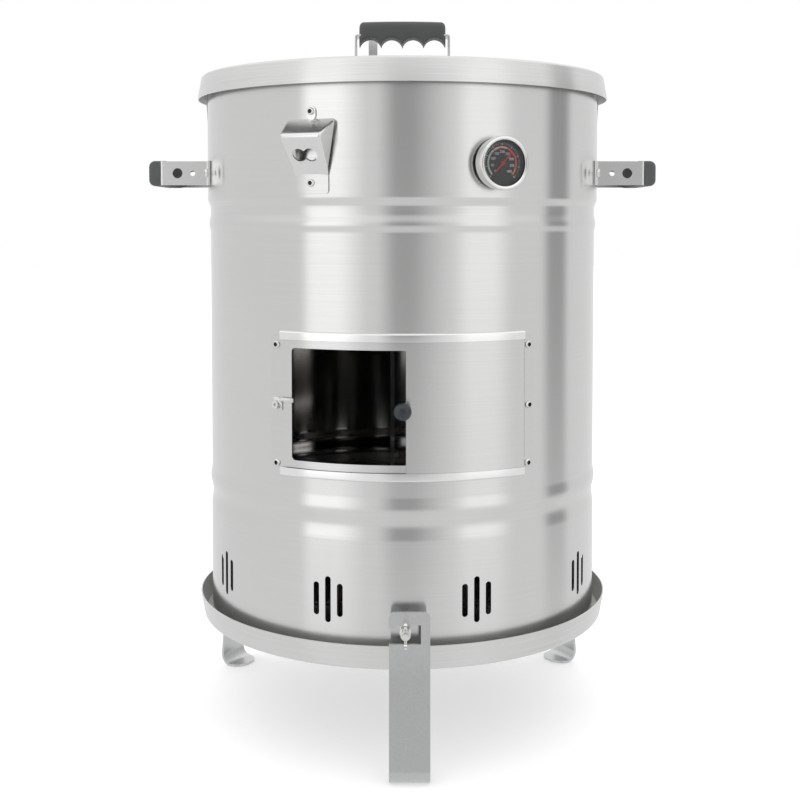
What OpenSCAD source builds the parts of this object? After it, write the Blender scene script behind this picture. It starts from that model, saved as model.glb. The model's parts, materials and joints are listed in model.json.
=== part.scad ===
// Charcoal drum smoker on three strap legs.
// The drum stands upright on the Z axis, its door faces -Y, and the feet rest on Z = 0.
// Pieces round the drum are modelled at the front and then swung to their own angle.
// Angles round the drum start at the front (-Y) and grow towards the right (+X).

/* [Drum] */
// Outer radius of the main drum wall
drum_r = 215; // [210:1:220]
// Thickness of the drum, lid and pan sheet
sheet = 1.2; // [1.0:0.1:1.4]
// Outer radius of the collar above the upper bead
collar_r = 217.7; // [217.5:0.1:218.5]
// Height of the drum's top edge, where the lid rests
drum_top = 703.1; // [700:0.1:706]
// Height of the top of the bead under the door
lower_bead_top = 276.8; // [272:0.1:280]
// Height of the top of the bead under the collar
upper_bead_top = 570; // [566:0.5:574]

/* [Lid and pan] */
// Outer radius of the skirt of the lid and of the pan
skirt_r = 224; // [223:0.5:226]
// Outer radius of the flared edge of the skirt
flare_r = 228.5; // [226:0.5:228.5]
// Height of the skirt
skirt_h = 24.3; // [22:0.1:28]
// Height of the pan's underside above the floor
pan_bottom = 108.6; // [106:0.1:112]

/* [Legs] */
// Width of the leg bar
leg_w = 40; // [36:1:44]
// Thickness of the leg bar
leg_t = 3; // [2.5:0.5:3]
// Height of the top of the leg
leg_top = 168.5; // [166:0.5:172]
// Angles of the three legs round the drum
leg_angles = [0, 120, 240]; // [0:1:359]

/* [Door] */
// Height of the bottom of the door opening
opening_low = 308.3; // [306:0.1:312]
// Height of the top of the door opening
opening_high = 420.5; // [416:0.1:422]
// Left edge of the door opening, degrees
opening_left = -30.6; // [-31:0.1:-28]
// Right edge of the door opening, degrees
opening_right = 1.5; // [0.5:0.1:2]
// Half of the angle that the rails cover
rail_half = 34; // [33.5:0.1:34]

/* [Vents] */
// Number of air vents round the bottom
vent_count = 9; // [6:1:9]
// Height of the middle of the vents
vent_z = 172.5; // [170:0.5:175]
// Width of one vent slot
vent_slot_w = 6; // [4:0.5:7]

/* [Handles] */
// Width of the handle strap
strap_w = 26; // [25:1:30]
// Thickness of the handle strap
strap_t = 2.2; // [1.8:0.1:2.4]
// Outer length of the handle strap's loop
strap_len = 106.8; // [104:0.2:110]
// Length of the grip
grip_len = 96.4; // [94:0.2:102]
// Distance from the grip's outer face to the strap's outer face
grip_over = 14.8; // [13:0.2:16]
// Depth of the grip from its outer face to its cusps
grip_depth = 28; // [26:0.2:29]
// Depth of the finger scallops
scallop_depth = 9.7; // [8:0.1:9.8]
// Length of the strap's feet
foot_len = 13; // [12:0.5:16]
// Height of the side handles
side_handle_z = 598.2; // [596:0.2:600]

/* [Thermometer] */
// Angle of the thermometer round the drum
thermo_angle = 25; // [24:0.5:27]
// Height of the thermometer
thermo_z = 602.2; // [600:0.2:604]
// Outer radius of the bezel
bezel_r = 26.45; // [26:0.05:27]
// Distance of the case's back from the drum wall
thermo_gap = 3; // [2:0.1:4.3]
// Height of the dial's back above the case's back
dial_z = 7; // [6.6:0.1:11]

/* [Bottle opener] */
// Angle of the bottle opener round the drum
opener_angle = -24; // [-27:0.5:-24]
// Height of the opener's upper screw
opener_top_screw = 652.9; // [650:0.1:654]
// Height of the opener's lower screw
opener_low_screw = 583.3; // [582:0.1:585]

/* [Inside] */
// Height of the cooking grate's wire centre
grate_z = 622; // [618:1:626]
// Radius of the cooking grate's ring
grate_r = 204; // [198:1:205]
// Radius of the charcoal basket's hoops
basket_r = 162; // [150:1:165]
// Height of the basket's top hoop
basket_top = 222; // [210:1:226]

/* [Hidden] */
$fn = 96;
round_fn = 360;             // steps of the drum-sized round pieces
fit = 0.05;                 // running clearance round a pin
lift = 0.3;                 // gap between pieces that slide on each other
pan_floor = pan_bottom + 1.4;
lid_top = drum_top + sheet;
lower_r = drum_r + 0.5;     // the bottom section is a little wider than the main wall
bolt_z = 148.5;
bolt_x = 3;
bolt_r = 3;
wing_r = 233.8;             // distance of the wing nut's back from the axis
leg_x0 = -13;               // left edge of the leg bar
leg_in = flare_r + 0.5;     // inner face of the leg's upper length
screw_r = 2;
frame_in = drum_r + fit;
door_in = frame_in + sheet + lift;
lip_in = door_in + sheet + 0.35;
rail_low = 292.1;
rail_high = 437.2;
lip_h = 8.4;
ear_half = 37.5;
stop_angle = 35.5;
mid_screw_z = 362.7;
frame_screw_z = [304, 423];
damper_c = [0, 85];
damper_r = 38;
damper_holes = 3;
bail_r = basket_r + 6.5;

// Swings a piece that is modelled at the front to an angle round the drum.
module at(angle) {
    rotate([0, 0, angle]) children();
}

// Stands a piece's own Z axis outwards from the drum at the front, r from the axis.
module out(r, z) {
    translate([0, -r, z]) rotate([90, 0, 0]) children();
}

// A plate that follows the drum, from angle a0 to a1 and from height z0 to z1.
module curved_plate(r, t, a0, a1, z0, z1) {
    rotate([0, 0, a0 - 90])
        rotate_extrude(angle = a1 - a0, $fn = round_fn)
            translate([r, z0])
                square([t, z1 - z0]);
}

module rounded_rect(w, h, r) {
    square([w - 2 * r, h], center = true);
    square([w, h - 2 * r], center = true);
    for (x = [-1, 1], y = [-1, 1])
        translate([x * (w / 2 - r), y * (h / 2 - r)])
            circle(r = r);
}

// Rectangle whose corners are arcs of flat steps.
module arc_corner_rect(w, h, r) {
    polygon([
        for (q = [0:3], a = [0:15:90])
            let (sx = (q == 0 || q == 3) ? 1 : -1, sy = q < 2 ? 1 : -1)
                [sx * (w / 2 - r) + r * cos(q * 90 + a), sy * (h / 2 - r) + r * sin(q * 90 + a)],
    ]);
}

module slot_2d(w, h) {
    square([w, h - w], center = true);
    for (s = [-1, 1])
        translate([0, s * (h - w) / 2])
            circle(d = w);
}

// A button-head screw whose head stands on radius r and whose shank runs inwards.
module button_screw(r, z, head_r, head_h, shank_r, shank_in) {
    out(r, z) {
        difference() {
            cylinder(r = head_r, h = head_h);
            translate([0, 0, head_h * 0.45]) cylinder(r = head_r * 0.42, h = head_h, $fn = 6);
        }
        translate([0, 0, -shank_in]) cylinder(r = shank_r, h = shank_in + head_h * 0.2);
    }
}

// A hexagon nut on a radial screw, from radius r outwards.
module radial_nut(r, z, across, h, bore_r) {
    out(r, z)
        difference() {
            cylinder(d = across / cos(30), h = h, $fn = 6);
            translate([0, 0, -1]) cylinder(r = bore_r, h = h + 2);
        }
}

// Outer line of the drum wall, as [radius, height] from the bottom up.
drum_line = [
    [lower_r, pan_floor],
    [lower_r, lower_bead_top - 44.8],
    [drum_r - 1.2, lower_bead_top - 29.4],
    [drum_r + 1.5, lower_bead_top - 12.8],
    [drum_r, lower_bead_top],
    [drum_r, upper_bead_top - 36],
    [drum_r + 1.4, upper_bead_top - 27.5],
    [drum_r - 0.2, upper_bead_top - 15.7],
    [drum_r - 0.2, upper_bead_top - 9.8],
    [collar_r, upper_bead_top],
    [collar_r, drum_top],
];

module vent_cut() {
    out(drum_r - 12, vent_z)
        linear_extrude(height = 24)
            for (i = [-1, 0, 1])
                translate([i * 2.1 * vent_slot_w, 0])
                    slot_2d(vent_slot_w, i == 0 ? 46 : 33);
}

module door_cut(grow) {
    half = (opening_right - opening_left) / 2;
    at((opening_right + opening_left) / 2)
        out(drum_r - 15, (opening_low + opening_high) / 2)
            linear_extrude(height = 22)
                arc_corner_rect(2 * drum_r * sin(half) + 2 * grow, opening_high - opening_low + 2 * grow, 4 + grow);
}

module screw_hole(angle, z, r) {
    at(angle) out(drum_r - 15, z) cylinder(r = r, h = 22);
}

module drum_shell() {
    inner = [for (i = [len(drum_line) - 1:-1:0]) [drum_line[i][0] - sheet, drum_line[i][1]]];
    color("silver")
        difference() {
            rotate_extrude($fn = round_fn) polygon(concat(drum_line, inner));
            door_cut(5);
            for (i = [0:vent_count - 1])
                at((i + 0.5) * 360 / vent_count) vent_cut();
            for (a = leg_angles)
                at(a) translate([bolt_x, 0, 0]) out(drum_r - 15, bolt_z) cylinder(r = bolt_r + fit, h = 22);
            for (a = [-stop_angle, stop_angle], z = frame_screw_z)
                screw_hole(a, z, screw_r + fit);
            for (a = [-stop_angle, stop_angle])
                screw_hole(a, mid_screw_z, screw_r + fit);
            for (z = [opener_low_screw, opener_top_screw])
                screw_hole(opener_angle, z, screw_r + fit);
            for (s = [-90, 90], t = [-foot_angle, foot_angle])
                screw_hole(s + t, side_handle_z, 2.5 + fit);
            screw_hole(thermo_angle, thermo_z, 6 + fit);
        }
}

// Two tapered tabs on the collar that centre the lid as it comes down.
module lid_guides() {
    color("dimgray")
        for (s = [-1, 1])
            rotate([0, 0, s * 86 - 90 - 3])
                rotate_extrude(angle = 6, $fn = round_fn)
                    polygon([
                        [collar_r + fit, drum_top - 50],
                        [collar_r + 1.2, drum_top - 28],
                        [skirt_r - sheet - 0.6, drum_top - 16],
                        [skirt_r - sheet - 0.6, drum_top - 4],
                        [collar_r + fit, drum_top - 2],
                    ]);
}

// Backing plate and the two folded rails that the door slides in.
module door_frame() {
    color("gainsboro")
        difference() {
            union() {
                curved_plate(frame_in, sheet, -ear_half, ear_half, rail_low + 4, rail_high - 5);
                curved_plate(frame_in, sheet, -rail_half, rail_half, rail_low, rail_high);
                curved_plate(frame_in, lip_in + sheet - frame_in, -rail_half, rail_half, rail_high - sheet, rail_high);
                curved_plate(frame_in, lip_in + sheet - frame_in, -rail_half, rail_half, rail_low, rail_low + sheet);
                curved_plate(lip_in, sheet, -rail_half, rail_half, rail_high - lip_h, rail_high);
                curved_plate(lip_in, sheet, -rail_half, rail_half, rail_low, rail_low + lip_h);
            }
            door_cut(0);
            for (a = [-stop_angle, stop_angle], z = concat(frame_screw_z, [mid_screw_z]))
                screw_hole(a, z, screw_r + fit);
        }
}

module frame_screws() {
    color("lightgray")
        for (a = [-stop_angle, stop_angle], z = frame_screw_z)
            at(a) button_screw(frame_in + sheet + 0.1, z, 3.8, 2.4, screw_r, 7.2);
}

// A taller screw that the door's right edge meets when it is fully open.
module door_stop() {
    color("lightgray")
        at(stop_angle) button_screw(frame_in + sheet + 0.1, mid_screw_z, 3.8, 3.4, screw_r, 7.2);
}

// Spring catch on the left: the door's edge slides in under its tongue.
module door_catch() {
    color("lightgray") {
        at(-stop_angle) button_screw(frame_in + 2 * sheet + 0.1, mid_screw_z, 3.8, 2.4, screw_r, 8.4);
        difference() {
            union() {
                curved_plate(frame_in + sheet, sheet, -36.9, -33.6, mid_screw_z - 5, mid_screw_z + 7.6);
                curved_plate(frame_in + sheet, lip_in + 1 - frame_in - sheet, -34.2, -33.6, mid_screw_z + 3.6, mid_screw_z + 7.6);
                curved_plate(lip_in, 1, -34.2, -29.6, mid_screw_z + 3.6, mid_screw_z + 7.6);
            }
            screw_hole(-stop_angle, mid_screw_z, screw_r + fit);
        }
    }
}

// The door at rest is fully open, to the right of the opening.
module door_panel() {
    color("gainsboro")
        difference() {
            union() {
                curved_plate(door_in, sheet, 0.9, 34.2, rail_low + 1.9, rail_high - 1.9);
                curved_plate(door_in, sheet, -0.9, 1.2, mid_screw_z - 6.4, mid_screw_z + 3.2);
            }
            out(drum_r - 10, mid_screw_z) cylinder(r = 2 + fit, h = 22);
        }
}

module knob_stud() {
    color("silver")
        out(door_in + 0.1, mid_screw_z) {
            cylinder(r = 2, h = 13);
            translate([0, 0, sheet + 0.1]) cylinder(r = 2.6, h = 5);
        }
}

module door_knob() {
    color([0.12, 0.12, 0.12])
        out(door_in + sheet + 5.4, mid_screw_z)
            difference() {
                rotate_extrude()
                    polygon(concat([[0, 0], [7.5, 0], [9, 1.5], [9, 8]],
                        [for (a = [15:15:90]) [6 + 3 * cos(a), 8 + 3 * sin(a)]],
                        [[0, 11.6]]));
                translate([0, 0, -1]) cylinder(r = 2 + fit, h = 8);
            }
}

// Folded hood of the opener: six corners, [half width, distance out, height] each.
module opener_wedge(hw_top, z_top, hw_fold, out_fold, z_fold, hw_low, z_low, back) {
    polyhedron(
        points = [
            [-hw_top, -back, z_top], [hw_top, -back, z_top],
            [-hw_fold, -out_fold, z_fold], [hw_fold, -out_fold, z_fold],
            [-hw_low, -back, z_low], [hw_low, -back, z_low],
        ],
        faces = [[0, 1, 3, 2], [2, 3, 5, 4], [0, 4, 5, 1], [0, 2, 4], [1, 5, 3]]);
}

module opener_hood() {
    plate = 1.5;
    back = collar_r + 0.1;
    fold_out = back + 26;
    fold_z = opener_top_screw - 24.7;
    low_z = opener_low_screw + 7;
    high_z = opener_top_screw - 7.4;
    face_tilt = atan((fold_out - back) / (fold_z - low_z));
    color("silver")
        at(opener_angle)
            difference() {
                union() {
                    difference() {
                        opener_wedge(27.5, high_z, 22, fold_out, fold_z, 18.5, low_z, back);
                        opener_wedge(26.2, high_z - 1.2, 20.4, fold_out - 2.2, fold_z - 0.3, 17.2, low_z + 2.2, back - 0.2);
                        translate([0, -(fold_out + back) / 2, (fold_z + low_z) / 2 + 1])
                            rotate([90 + face_tilt, 0, 0])
                                translate([0, 0, -12])
                                    linear_extrude(height = 24) {
                                        for (s = [-1, 1]) translate([s * 6.2, 0]) circle(r = 7.2);
                                        square([8, 9.4], center = true);
                                    }
                    }
                    out(back, (high_z + opener_top_screw) / 2 - 1)
                        linear_extrude(height = plate) {
                            translate([0, -1]) square([10, 9.5], center = true);
                            translate([0, 3.7]) circle(r = 5);
                        }
                    out(back, opener_low_screw - 1)
                        linear_extrude(height = plate)
                            rounded_rect(37, 19, 3);
                }
                for (z = [opener_low_screw, opener_top_screw])
                    out(drum_r - 15, z) cylinder(r = screw_r + fit, h = 22);
            }
}

module opener_screws() {
    color("lightgray")
        for (z = [opener_low_screw, opener_top_screw])
            at(opener_angle) button_screw(collar_r + 1.7, z, 3.8, 2.2, screw_r, 7.6);
}

// Side outline of a handle strap. Height 0 is where its feet meet the surface at x = 0.
module strap_2d(reach, foot_drop, foot_tilt) {
    difference() {
        translate([0, (reach - foot_drop) / 2]) union() {
            rounded_rect(strap_len, reach + foot_drop, 2.4);
            translate([0, -reach / 4]) square([strap_len, (reach + foot_drop) - reach / 2 - 0.1], center = true);
        }
        translate([-strap_len / 2 + strap_t, -foot_drop - 1])
            square([strap_len - 2 * strap_t, reach + foot_drop + 1 - strap_t]);
        translate([0, -foot_drop - 10]) square([strap_len + 2, 20 - 0.01], center = true);
    }
    for (s = [-1, 1])
        translate([s * strap_len / 2, -foot_drop])
            rotate(-s * foot_tilt)
                translate([s > 0 ? -strap_t : -foot_len, 0])
                    square([foot_len + strap_t, strap_t]);
}

// The strap with the two holes in each arm; its length runs along X and it reaches up Z.
module strap(reach, foot_drop, foot_tilt) {
    difference() {
        translate([0, strap_w / 2, 0])
            rotate([90, 0, 0])
                linear_extrude(height = strap_w)
                    strap_2d(reach, foot_drop, foot_tilt);
        translate([-strap_len, 0, reach - 18.7]) rotate([0, 90, 0]) cylinder(r = 5.5, h = 2 * strap_len);
        translate([-strap_len, 0, reach - 35.3]) rotate([0, 90, 0]) cylinder(r = 3, h = 2 * strap_len);
    }
}

// A grip with four finger scallops; its outer face is at Z = 0 and the scallops face -Z.
module grip() {
    wall = 0.8;
    scallop = grip_len / 4;
    scallop_r = (pow(scallop / 2, 2) + pow(scallop_depth, 2)) / (2 * scallop_depth);
    translate([0, strap_w / 2 + wall, 0])
        rotate([90, 0, 0])
            difference() {
                linear_extrude(height = strap_w + 2 * wall)
                    difference() {
                        translate([0, -grip_depth / 2]) union() {
                            rounded_rect(grip_len, grip_depth, 5);
                            translate([0, -grip_depth / 4]) square([grip_len, grip_depth / 2], center = true);
                        }
                        for (i = [-1.5:1:1.5])
                            translate([i * scallop, scallop_depth - grip_depth - scallop_r]) circle(r = scallop_r);
                    }
                translate([-grip_len, -grip_over - strap_t - fit, wall - fit])
                    cube([2 * grip_len, strap_t + 2 * fit, strap_w + 2 * fit]);
            }
}

strap_out = 264.2;                                   // outer face of a side strap from the axis
foot_y = (strap_len + foot_len) / 2;                  // middle of a strap's foot
foot_angle = asin(foot_y / collar_r);
foot_base = collar_r * cos(foot_angle) + foot_len / 2 * tan(foot_angle) + 0.2;

// Puts a handle on the side of the drum: s = 1 right, -1 left. Local X runs along Y, local Z outwards.
module side_frame(s) {
    translate([0, 0, side_handle_z])
        multmatrix([[0, 0, s, 0], [s, 0, 0, 0], [0, 1, 0, 0], [0, 0, 0, 1]])
            children();
}

module side_strap(s) {
    color("silver")
        difference() {
            side_frame(s)
                translate([0, 0, foot_base])
                    strap(strap_out - foot_base, 0, foot_angle);
            for (t = [-foot_angle, foot_angle])
                at(s * 90 + t) out(drum_r - 15, side_handle_z) cylinder(r = 2.5 + fit, h = 26);
        }
}

module side_grip(s) {
    color([0.13, 0.14, 0.14])
        side_frame(s)
            translate([0, 0, strap_out + grip_over]) grip();
}

module side_handle_screws() {
    color("lightgray")
        for (s = [-90, 90], t = [-foot_angle, foot_angle])
            at(s + t) button_screw(collar_r + strap_t + 0.4, side_handle_z, 4.6, 2.8, 2.5, 9);
}

// Nuts inside the drum wall for the frame, opener and handle screws.
module wall_nuts() {
    color("silver") {
        for (a = [-stop_angle, stop_angle], z = concat(frame_screw_z, [mid_screw_z]))
            at(a) radial_nut(drum_r - sheet - 3.4, z, 7, 3.2, screw_r + fit);
        for (z = [opener_low_screw, opener_top_screw])
            at(opener_angle) radial_nut(collar_r - sheet - 3.4, z, 7, 3.2, screw_r + fit);
        for (s = [-90, 90], t = [-foot_angle, foot_angle])
            at(s + t) radial_nut(collar_r - sheet - 4.3, side_handle_z, 8, 4, 2.5 + fit);
    }
}

// Stands a thermometer piece on the case's back.
module at_thermo() {
    at(thermo_angle) out(collar_r + thermo_gap, thermo_z) children();
}

module thermo_case() {
    color("silver")
        at_thermo()
            difference() {
                cylinder(r = bezel_r - 1.45, h = dial_z + 4);
                translate([0, 0, 1.5]) cylinder(r = 21, h = 20);
                translate([0, 0, dial_z]) cylinder(r = bezel_r - 2.9, h = 20);
                translate([0, 0, -1]) cylinder(r = 4 + fit, h = 20);
            }
}

module thermo_bezel() {
    color("whitesmoke")
        at_thermo()
            translate([0, 0, dial_z])
                rotate_extrude()
                    polygon([
                        [bezel_r - 1.4, 1], [bezel_r, 1], [bezel_r, 6.1], [bezel_r - 0.6, 7.5], [bezel_r - 2.2, 8.1],
                        [bezel_r - 3.9, 7.1], [bezel_r - 3.9, 5.7], [bezel_r - 1.4, 5.7],
                    ]);
}

module thermo_dial() {
    color([0.08, 0.09, 0.09])
        at_thermo()
            translate([0, 0, dial_z]) difference() {
                cylinder(r = bezel_r - 2.95, h = 0.8);
                translate([0, 0, -1]) cylinder(r = 1, h = 4);
            }
}

// The needle at rest points up and to the right on the dial.
module thermo_needle() {
    color("firebrick")
        at_thermo()
            translate([0, 0, dial_z]) {
                translate([0, 0, -1.8]) cylinder(r = 0.95, h = 4.9);
                translate([0, 0, 1.9]) cylinder(r = 2, h = 0.9);
                translate([0, 0, 2])
                    rotate([0, 0, 47])
                        linear_extrude(height = 0.6)
                            polygon([[-12, -0.7], [8, -0.5], [8, -2], [14.5, 0], [8, 2], [8, 0.5], [-12, 0.7]]);
            }
}

module thermo_glass() {
    color([0.8, 0.9, 0.95, 0.3])
        at_thermo()
            translate([0, 0, dial_z + 4.1]) cylinder(r = bezel_r - 1.5, h = 1.5);
}

module thermo_stem() {
    color("silver")
        at_thermo() {
            translate([0, 0, -72]) cylinder(r = 2.5, h = 62);
            translate([0, 0, -72]) sphere(r = 2.5);
            translate([0, 0, -13]) cylinder(r = 6, h = 13);
            cylinder(r = 4, h = 4.5);
        }
}

module thermo_nut() {
    color("silver")
        at(thermo_angle) radial_nut(collar_r - sheet - 6.4, thermo_z, 18, 6, 6 + fit);
}

// Four ledges inside the collar that carry the cooking grate.
module grate_brackets() {
    color("gray")
        for (a = [45:90:315]) {
            curved_plate(collar_r - sheet - 17, 16.9, a - 3, a + 3, grate_z - 5.3, grate_z - 3.3);
            curved_plate(collar_r - sheet - 1.3, 1.2, a - 3, a + 3, grate_z - 26, grate_z - 5.3);
        }
}

// Bolts through the drum wall into the leg slots.
module leg_bolts() {
    color("silver")
        for (a = leg_angles)
            at(a) translate([bolt_x, 0, 0]) out(lower_r - sheet - 2.9, bolt_z) {
                cylinder(r = 7, h = 2.7);
                cylinder(r = bolt_r, h = 34.5);
            }
}

module leg_bolt_nuts() {
    color("silver")
        for (a = leg_angles)
            at(a) translate([bolt_x, 0, 0]) radial_nut(lower_r + 0.1, bolt_z, 10, 5, bolt_r + fit);
}

// A wing nut with upright wings.
module wing_nut(angle) {
    color("silver")
        at(angle) translate([bolt_x, 0, 0]) out(wing_r, bolt_z)
            difference() {
                union() {
                    cylinder(r1 = 6, r2 = 4.8, h = 8);
                    for (s = [-1, 1])
                        scale([1, s, 1])
                            translate([-1.5, 0, 0])
                                rotate([90, 0, 90])
                                    linear_extrude(height = 3) {
                                        polygon([[0, 0.5], [6, 0.5], [12.5, 7], [9, 12], [4, 7.5], [0, 7.5]]);
                                        translate([10, 9]) circle(r = 3.4);
                                    }
                }
                translate([0, 0, -1]) cylinder(r = bolt_r + fit, h = 20);
            }
}

// Line of a shallow pan with a flared edge: [radius, height] with the flat face at height 0.
function pan_line(r, flare, h) = concat(
    [[0, 0]],
    [for (a = [-90:15:0]) [r - 3 + 3 * cos(a), 3 + 3 * sin(a)]],
    [[r, h * 0.55], [r + (flare - r) * 0.35, h * 0.78], [flare, h]]);

module pan_shell(t) {
    outer = pan_line(skirt_r, flare_r, skirt_h + 1.1);
    inner = pan_line(skirt_r - t, flare_r - t, skirt_h + 1.1 - t);
    rotate_extrude($fn = round_fn)
        polygon(concat(outer, [for (i = [len(inner) - 1:-1:0]) [inner[i][0], inner[i][1] + t]]));
}

module base_pan() {
    color("silver")
        translate([0, 0, pan_bottom]) pan_shell(pan_floor - pan_bottom);
}

// Side line of a leg bar, as [distance out, height]: upright, then leaning out, then bent in to the foot.
leg_lean = atan(9 / 88.6);
leg_knee = 104;
foot_bend = 14;
foot_end = 213;
leg_face = leg_in + leg_t;
foot_centre = leg_face + tan(leg_lean) * (leg_knee - foot_bend * (1 + sin(leg_lean))) - foot_bend * cos(leg_lean);

function leg_side(inset) = concat(
    [[leg_face - inset, leg_top], [leg_face - inset, leg_knee]],
    [for (i = [0:8]) let (a = leg_lean - i * (90 + leg_lean) / 8)
        [foot_centre + (foot_bend - inset) * cos(a), foot_bend + (foot_bend - inset) * sin(a)]],
    [[foot_end, inset]]);

module leg(angle) {
    inner = leg_side(leg_t);
    color([0.6, 0.61, 0.62])
        at(angle)
            difference() {
                intersection() {
                    translate([leg_x0 + leg_w, 0, 0])
                        rotate([90, 0, -90])
                            linear_extrude(height = leg_w)
                                polygon(concat(leg_side(0), [for (i = [len(inner) - 1:-1:0]) inner[i]]));
                    // Rounded upper corners.
                    out(foot_end - 5, leg_top / 2)
                        linear_extrude(height = 50)
                            translate([leg_x0 + leg_w / 2, 0]) {
                                rounded_rect(leg_w, leg_top, 6);
                                translate([0, -leg_top / 4]) square([leg_w, leg_top / 2 + 1], center = true);
                            }
                    // Rounded toe.
                    translate([leg_x0 + leg_w / 2, -foot_end - 50, -1])
                        linear_extrude(height = leg_top + 5) {
                            rounded_rect(leg_w, 100, 17);
                            translate([0, -25]) square([leg_w, 60], center = true);
                        }
                }
                // Bayonet slot, open on the left under a short lip.
                out(foot_end - 5, 0)
                    linear_extrude(height = 50)
                        polygon([
                            [leg_x0 - 1, 138], [leg_x0 + 2, 137], [18, 137], [18, 155.8],
                            [leg_x0 + 8, 155.8], [leg_x0 + 4, 152.6], [leg_x0 - 1, 152.6],
                        ]);
            }
}

// Spacer blocks welded between the pan's skirt and the legs.
module leg_spacers() {
    color("gray")
        for (a = leg_angles)
            at(a)
                difference() {
                    translate([-6, -leg_in + fit, pan_bottom + 4]) cube([26, leg_in - skirt_r + 6, 9]);
                    translate([0, 0, pan_bottom - 5]) cylinder(r = skirt_r + fit, h = 40, $fn = round_fn);
                }
}

module lid_shell() {
    color("silver")
        difference() {
            translate([0, 0, lid_top]) mirror([0, 0, 1]) pan_shell(sheet);
            for (i = [0:damper_holes - 1])
                translate([damper_c[0], damper_c[1], lid_top - 5]) rotate([0, 0, 90 + i * 120])
                    translate([22, 0, 0]) cylinder(r = 10, h = 10);
            translate([damper_c[0], damper_c[1], lid_top - 5]) cylinder(r = 3 + fit, h = 10);
            for (s = [-1, 1])
                translate([s * foot_y, 0, lid_top - 5]) cylinder(r = 2.5 + fit, h = 10);
        }
}

module lid_strap() {
    color("silver")
        difference() {
            translate([0, 0, lid_top]) strap(50.3, 0, 0);
            for (s = [-1, 1])
                translate([s * foot_y, 0, lid_top - 5]) cylinder(r = 2.5 + fit, h = 10);
        }
}

module lid_grip() {
    color([0.13, 0.14, 0.14])
        translate([0, 0, lid_top + 50.3 + grip_over]) grip();
}

module lid_handle_screws() {
    color("lightgray")
        for (s = [-1, 1])
            translate([s * foot_y, 0, lid_top + strap_t]) {
                difference() {
                    cylinder(r = 4.6, h = 2.8);
                    translate([0, 0, 1.3]) cylinder(r = 2, h = 3, $fn = 6);
                }
                translate([0, 0, -8]) cylinder(r = 2.5, h = 8.5);
            }
}

module lid_nuts() {
    color("silver")
        for (s = [-1, 1])
            translate([s * foot_y, 0, lid_top - sheet - 4])
                difference() {
                    cylinder(d = 8 / cos(30), h = 4, $fn = 6);
                    translate([0, 0, -1]) cylinder(r = 2.5 + fit, h = 6);
                }
}

// Turning damper over the lid's three holes, with an upright tab.
module damper_disc() {
    tab_angle = 180 + atan(14 / 35.6);
    color("silver")
        translate([damper_c[0], damper_c[1], lid_top + lift])
            difference() {
                union() {
                    cylinder(r = damper_r, h = sheet);
                    rotate([0, 0, tab_angle])
                        translate([32, -sheet / 2, 0]) {
                            cube([10.8, sheet, 52]);
                            translate([5.4, 0, 52]) rotate([-90, 0, 0]) cylinder(r = 5.4, h = sheet);
                            translate([0, -6, 0]) cube([10.8, 12 + sheet, sheet]);
                        }
                }
                for (i = [0:damper_holes - 1])
                    rotate([0, 0, 90 + i * 120]) translate([22, 0, -1]) cylinder(r = 10, h = 4);
                translate([0, 0, -1]) cylinder(r = 3 + fit, h = 4);
            }
}

module damper_rivet() {
    color("lightgray")
        translate([damper_c[0], damper_c[1], lid_top - sheet]) {
            translate([0, 0, -1.6]) cylinder(r = 5, h = 1.6);
            cylinder(r = 3, h = sheet + lift + sheet + lift);
            translate([0, 0, sheet + lift + sheet + lift]) cylinder(r = 6.5, h = 2);
        }
}

module rod(from, to, r) {
    d = to - from;
    len = norm(d);
    translate(from)
        rotate([0, acos(d[2] / len), atan2(d[1], d[0])])
            cylinder(r = r, h = len);
}

module ring(r, z, wire) {
    translate([0, 0, z]) rotate_extrude() translate([r, 0]) circle(r = wire, $fn = 32);
}

module cooking_grate() {
    pitch = 18;
    color("darkgray") {
        ring(grate_r, grate_z, 3);
        for (i = [-10:10])
            let (half = sqrt(grate_r * grate_r - i * i * pitch * pitch))
                rod([i * pitch, -half, grate_z], [i * pitch, half, grate_z], 2);
        for (y = [-95, 95])
            let (half = sqrt(grate_r * grate_r - y * y))
                rod([-half, y, grate_z - 3], [half, y, grate_z - 3], 2);
        for (s = [-1, 1]) {
            for (y = [-32, 32])
                rod([s * 10 * pitch, y, grate_z], [s * 10 * pitch, y, grate_z + 16], 2);
            rod([s * 10 * pitch, -34, grate_z + 16], [s * 10 * pitch, 34, grate_z + 16], 2);
        }
    }
}

module basket_wall() {
    floor_z = pan_floor + 18;
    color("dimgray") {
        for (z = [floor_z, (floor_z + basket_top) / 2, basket_top])
            ring(basket_r, z, 3);
        for (i = [0:29])
            rotate([0, 0, i * 12 + 6])
                translate([basket_r, 0, floor_z]) cylinder(r = 1.8, h = basket_top - floor_z);
        for (s = [-1, 1])
            rod([s * (basket_r - 1), 0, basket_top], [s * (bail_r + 3), 0, basket_top], 2);
        for (s = [-1, 1])
            rod([s * (bail_r + 2.8), 0, basket_top], [s * (bail_r + 4), 0, basket_top], 3.4);
    }
}

module basket_floor() {
    floor_z = pan_floor + 18;
    pitch = 18;
    bar_r = 2;
    beam_r = 2.5;
    reach = basket_r - 3.2;
    color("gray") {
        for (i = [-8:8])
            let (half = sqrt(pow(reach, 2) - pow(abs(i) * pitch + bar_r, 2)))
                rod([i * pitch, -half, floor_z], [i * pitch, half, floor_z], bar_r);
        for (y = [-60, 60])
            let (half = sqrt(pow(reach, 2) - pow(abs(y) + beam_r, 2)))
                rod([-half, y, floor_z - 3], [half, y, floor_z - 3], beam_r);
        for (x = [-108, 108], y = [-60, 60])
            translate([x, y, pan_floor + 0.2]) cylinder(r = 5, h = floor_z - pan_floor - 1);
    }
}

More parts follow.
